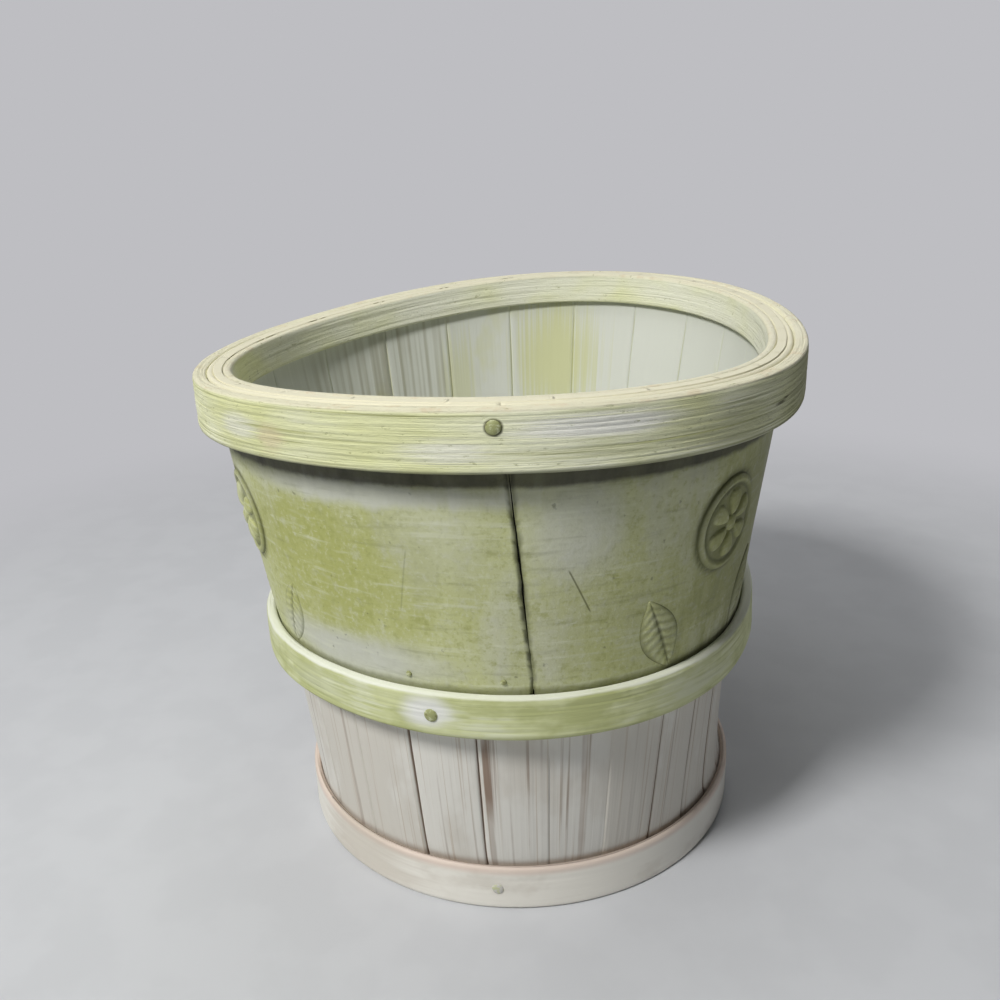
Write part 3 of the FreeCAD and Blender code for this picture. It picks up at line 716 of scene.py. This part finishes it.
# Carved reliefs: a flat pattern of heights laid on the belt's cone

def onBelt(azimuth, across, up, height, z0):
    z = z0 + up
    face = panelFace(z) - panel["wave"]
    return onRing(math.radians(azimuth) + across / face, face + height, z)


# medallion heights: a plate with a rounded rim ring and a moat inside it, petals as domes between the
# spokes, a heart
def makeMedallion(side):
    share = np.linspace(0.02, 1, relief["rows"])[:, None]
    turn = np.linspace(0, 2 * math.pi, relief["turns"], endpoint=False)[None, :]
    spoke = np.abs(np.cos(turn * relief["petals"] / 2))
    along = (share - relief["petalAt"]) / relief["petalHalf"]
    petal = np.clip(1 - along ** 2 - (1 - spoke) ** 2 * relief["petalNarrow"], 0, 1) ** 0.5
    heart = np.clip(1 - (share / relief["heart"]) ** 2, 0, 1) ** 0.5
    ring = np.exp(-((share - relief["ringAt"]) / relief["ringWide"]) ** 2)
    moat = np.exp(-((share - relief["moatAt"]) / relief["moatWide"]) ** 2)
    height = relief["plate"] + relief["ring"] * ring + relief["petal"] * np.maximum(petal, heart * 0.9)
    height = height - relief["moat"] * moat
    edge = np.clip((share - relief["edgeFrom"]) / (1 - relief["edgeFrom"]), 0, 1)
    height = height * (1 - edge ** 2) - relief["sunk"] * edge ** 2
    across = relief["medallionRadius"] * share * np.sin(turn)
    up = relief["medallionRadius"] * share * np.cos(turn)
    place, z0 = relief["places"][side], relief["rise"]
    top = onBelt(place, across, up, height, z0)
    under = onBelt(place, across, up, 0 * height - relief["sunk"] - relief["underPlate"], z0)[::-1]
    points = np.vstack([top, under])
    crease = np.clip(1.25 - height / (0.95 * mm), 0, 1) ** 1.5
    marks = dict(crease=np.vstack([crease, 0 * crease]))
    node = side + "_medallion"
    return carriedPiece(side + "Medallion", points, False, panelGreen, [node], marks)


# leaf heights: a dome across the blade with a midrib groove and slanting veins
def makeLeaf(side, which, spread):
    t = np.linspace(0.01, 0.99, relief["leafRows"])[:, None]
    loop = np.linspace(0, 2 * math.pi, relief["leafTurns"], endpoint=False)[None, :]
    s, upper = np.cos(loop), np.sin(loop)
    half = relief["leafWide"] * np.sin(math.pi * t) ** 0.9
    dome = relief["leafDome"] * (1 - s ** 2) ** 0.5 * np.sin(math.pi * t) ** 0.5
    veins = np.sin((t * relief["veins"] + np.abs(s)) * 2 * math.pi) * (1 - s ** 2)
    rib = relief["midrib"] * np.exp(-(s / relief["midribWide"]) ** 2) + relief["vein"] * veins
    blade = dome - rib * (upper > 0.02) * np.sin(math.pi * t)
    height = np.where(upper >= 0, blade, 0.2 * mm * upper - relief["sunk"])
    lengthwise = (t - 0.5) * 2 * relief["leafHalf"]
    tilt = spread * math.atan(relief["leafLean"])
    across = half * s * math.cos(tilt) + lengthwise * math.sin(tilt)
    up = lengthwise * math.cos(tilt) - half * s * math.sin(tilt)
    place = relief["places"][side] + spread * relief["leafSpread"]
    points = onBelt(place, across, up, height - relief["leafSink"], relief["leafHeight"])
    name, node = side + which.title() + "Leaf", "%s_%s_leaf" % (side, which)
    marks = dict(crease=np.clip(np.abs(s) ** 6 + rib / (0.5 * mm) * (upper > 0), 0, 1))
    return carriedPiece(name, points, False, panelGreen, [node], marks)


for sideName, frontSign in (("right", -1), ("left", 1)):
    makeMedallion(sideName)
    makeLeaf(sideName, "front", frontSign)
    makeLeaf(sideName, "back", -frontSign)
print("reliefs made")


# Nails: a domed head and a shank turned about a level axis, repeated round the hoop

nails = dict(
    rimNails=dict(node="rim_nails", azimuth=-1.8, count=3, z=155.8 * mm, head=1.7 * mm, rise=0.75 * mm,
                  shank=0.8 * mm, length=10.6 * mm, hoop="rim_outer_hoop", seed=61),
    midNails=dict(node="mid_nails", azimuth=-15.6, count=3, z=72.4 * mm, head=1.9 * mm, rise=0.8 * mm,
                  shank=0.8 * mm, length=7.2 * mm, hoop="mid_hoop", seed=62),
    baseNails=dict(node="base_nails", azimuth=-6.0, count=3, z=7.5 * mm, head=1.7 * mm, rise=0.5 * mm,
                   shank=0.8 * mm, length=10.6 * mm, hoop="base_hoop", seed=63),
    sideBrads=dict(node="side_brads", azimuth=-20.4, count=2, z=82.3 * mm, head=0.8 * mm, rise=0.4 * mm,
                   shank=0.4 * mm, length=3.4 * mm, hoop=None, seed=64),
    seamBrads=dict(node="seam_brads", azimuth=-2.2, count=2, z=82.3 * mm, head=0.8 * mm, rise=0.4 * mm,
                   shank=0.4 * mm, length=3.4 * mm, hoop=None, seed=65),
)


nailShape = dict(bedded=0.3 * mm, steps=9, turns=32, uneven=0.06)


# a nail's outline is its shank, the flat under its head and a quarter ellipse from the head's edge
# to its crown
def makeNails(name):
    nail = nails[name]
    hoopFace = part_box(nail["hoop"])[1][0] if nail["hoop"] else float(panelFace(nail["z"]))
    seat = hoopFace - nailShape["bedded"]
    bend = np.linspace(0, 0.97, nailShape["steps"]) * math.pi / 2
    out = nailShape["bedded"] + nail["rise"] * np.sin(bend)
    head = np.stack([out, nail["head"] * np.cos(bend)], axis=-1)
    shank = np.array([(-nail["length"], 0.1), (-nail["length"], 1), (0, 1)]) * (1, nail["shank"])
    outline = np.vstack([shank, [(0, nail["head"])], head])
    turn = np.linspace(0, 2 * math.pi, nailShape["turns"], endpoint=False)
    uneven = 1 + nailShape["uneven"] * roughField(turn / (2 * math.pi), turn * 0, 7, 1, nail["seed"])
    sideways = outline[:, 1:] * uneven * np.cos(turn)
    upward = outline[:, 1:] * uneven * np.sin(turn)
    rows, columns = sideways.shape
    quads = np.array(gridFaces(rows, columns, False, True))
    size = rows * columns + 2
    fans = fanFaces(list(range(columns)), size - 2, False)
    fans += fanFaces(list(range(size - 2 - columns, size - 2)), size - 1, True)
    points, faces = [], []
    for index in range(nail["count"]):
        azimuth = math.radians(nail["azimuth"] + index * 360 / nail["count"])
        body = onRing(azimuth + sideways / hoopFace, seat + outline[:, :1], nail["z"] + upward)
        points.append(np.vstack([body.reshape(-1, 3), body[0].mean(axis=0), body[-1].mean(axis=0)]))
        faces += (quads + index * size).tolist() + (np.array(fans) + index * size).tolist()
    return addPiece(name, np.vstack(points), faces, nailPaint, [nail["node"]])


for nailName in nails:
    makeNails(nailName)
print("nails made")


# Bottom board: a turned section from the middle out, with two plank grooves across its top

board = dict(low=4.5 * mm, high=10.5 * mm, rings=60, turns=180, gap=0.5 * mm, groove=0.5 * mm,
             grooveWide=0.7 * mm, plank=22 * mm)


def makeBoard():
    turn = np.linspace(0, 2 * math.pi, board["turns"], endpoint=False)[None, :]
    edge = slatFace(np.array([board["low"], board["high"]])) - wall["slatThickness"] - board["gap"]
    share = np.linspace(0.02, 1, board["rings"])[:, None]
    topRadius, underRadius = share * edge[1], share[::-1] * edge[0]
    y = -topRadius * np.cos(turn)
    cuts = sum(np.exp(-((y - line) / board["grooveWide"]) ** 2) for line in (-board["plank"], board["plank"]))
    top = onRing(turn + 0 * topRadius, topRadius + 0 * turn, board["high"] - board["groove"] * cuts)
    under = onRing(turn + 0 * underRadius, underRadius + 0 * turn, board["low"] + 0 * turn * underRadius)
    points = np.vstack([top, under])
    return carriedPiece("bottomBoard", points, False, boardWood, ["bottom_board"])


makeBoard()
print("board made")


# Stage, light and camera

stage = dict(floorSize=8.0, floorTone=tone(208, 210, 214), paperTone=tone(205, 207, 211),
             farTone=tone(190, 190, 194), fadeStart=0.27, fadeEnd=0.48, skyTone=tone(236, 238, 240),
             skyStrength=0.035, backgroundRays=("Is Glossy Ray", "Is Transmission Ray"))


# the floor fades into the backdrop's tone, so that no horizon shows
def makeStage():
    mesh = bpy.data.meshes.new("floor")
    half = stage["floorSize"] / 2
    corners = [(-half, -half, 0), (half, -half, 0), (half, half, 0), (-half, half, 0)]
    mesh.from_pydata(corners, [], [(0, 1, 2, 3)])
    floor = bpy.data.objects.new("floor", mesh)
    scene.collection.objects.link(floor)
    s = Shader("floorPaper", warps=False, around=False)
    soft = s.noise((40, 40, 40), 3, 0.5)
    colour = s.mix(stage["floorTone"], stage["paperTone"], s.rise(soft, 0.4, 0.6))
    mesh.materials.append(s.finish(colour, 0.8, soft, 0.02))
    glow = s.add("ShaderNodeEmission", {}, {"Color": stage["farTone"], "Strength": 1.0})
    path = s.add("ShaderNodeLightPath", {}, {})
    seen = Value(s, path.outputs["Is Camera Ray"])
    for ray in stage["backgroundRays"]:
        seen = s.most(seen, Value(s, path.outputs[ray]))
    far = s.rise(s.radius, stage["fadeStart"], stage["fadeEnd"]) * seen
    blend = s.add("ShaderNodeMixShader", {}, {0: far, 1: s.surface.outputs[0], 2: glow.outputs[0]})
    s.links.new(blend.outputs[0], s.nodes["Material Output"].inputs["Surface"])
    world = bpy.data.worlds.new("studio")
    scene.world = world
    world.use_nodes = True
    nodes, links = world.node_tree.nodes, world.node_tree.links
    sky = nodes["Background"]
    sky.inputs["Color"].default_value = stage["skyTone"]
    sky.inputs["Strength"].default_value = stage["skyStrength"]
    backdrop = nodes.new("ShaderNodeBackground")
    backdrop.inputs["Color"].default_value = stage["farTone"]
    path, choose = nodes.new("ShaderNodeLightPath"), nodes.new("ShaderNodeMixShader")
    seen = path.outputs["Is Camera Ray"]
    for ray in stage["backgroundRays"]:
        either = nodes.new("ShaderNodeMath")
        either.operation = "MAXIMUM"
        links.new(seen, either.inputs[0])
        links.new(path.outputs[ray], either.inputs[1])
        seen = either.outputs[0]
    links.new(seen, choose.inputs[0])
    links.new(sky.outputs[0], choose.inputs[1])
    links.new(backdrop.outputs[0], choose.inputs[2])
    links.new(choose.outputs[0], nodes["World Output"].inputs["Surface"])


lamps = dict(key=dict(place=(-0.62, -0.68, 1.06), size=0.26, power=13.6, tone=(1.0, 0.99, 0.97)),
             fill=dict(place=(0.35, 1.0, 0.8), size=0.8, power=2.6, tone=(1.0, 1.0, 1.0)),
             top=dict(place=(-0.12, -0.05, 0.95), size=0.6, power=2.1, tone=(1.0, 1.0, 1.0)))
lampTarget = (0, 0, 0.08)  # the middle of the planter


def makeLamps():
    for name, lamp in lamps.items():
        data = bpy.data.lights.new(name, "AREA")
        data.size, data.energy, data.color = lamp["size"], lamp["power"], lamp["tone"]
        lampObject = bpy.data.objects.new(name, data)
        lampObject.location = lamp["place"]
        aim = Vector(lampTarget) - lampObject.location
        lampObject.rotation_euler = aim.to_track_quat("-Z", "Y").to_euler()
        scene.collection.objects.link(lampObject)


# the camera that fits the edges of the three hoops in the photograph
camera = dict(focalPixels=1034.9, imagePixels=1000, distance=318.95 * mm, height=225.54 * mm, down=0.365,
              pan=-0.014, roll=-0.031, sensor=36, clipStart=0.01)


def makeCamera():
    data = bpy.data.cameras.new("camera")
    data.sensor_width = camera["sensor"]
    data.lens = camera["focalPixels"] / camera["imagePixels"] * camera["sensor"]
    data.clip_start = camera["clipStart"]
    down, pan, roll = camera["down"], camera["pan"], camera["roll"]
    forward = Vector((math.sin(pan) * math.cos(down), math.cos(pan) * math.cos(down), -math.sin(down)))
    level = Vector((math.cos(pan), -math.sin(pan), 0))
    upright = level.cross(forward)
    right = level * math.cos(roll) + upright * math.sin(roll)
    up = upright * math.cos(roll) - level * math.sin(roll)
    turn = Matrix((right, up, -forward)).transposed().to_4x4()
    cameraObject = bpy.data.objects.new("camera", data)
    cameraObject.matrix_world = Matrix.Translation((0, -camera["distance"], camera["height"])) @ turn
    scene.collection.objects.link(cameraObject)
    scene.camera = cameraObject


makeStage()
makeLamps()
makeCamera()
scene.view_settings.view_transform = "Standard"
print("stage, light and camera set")
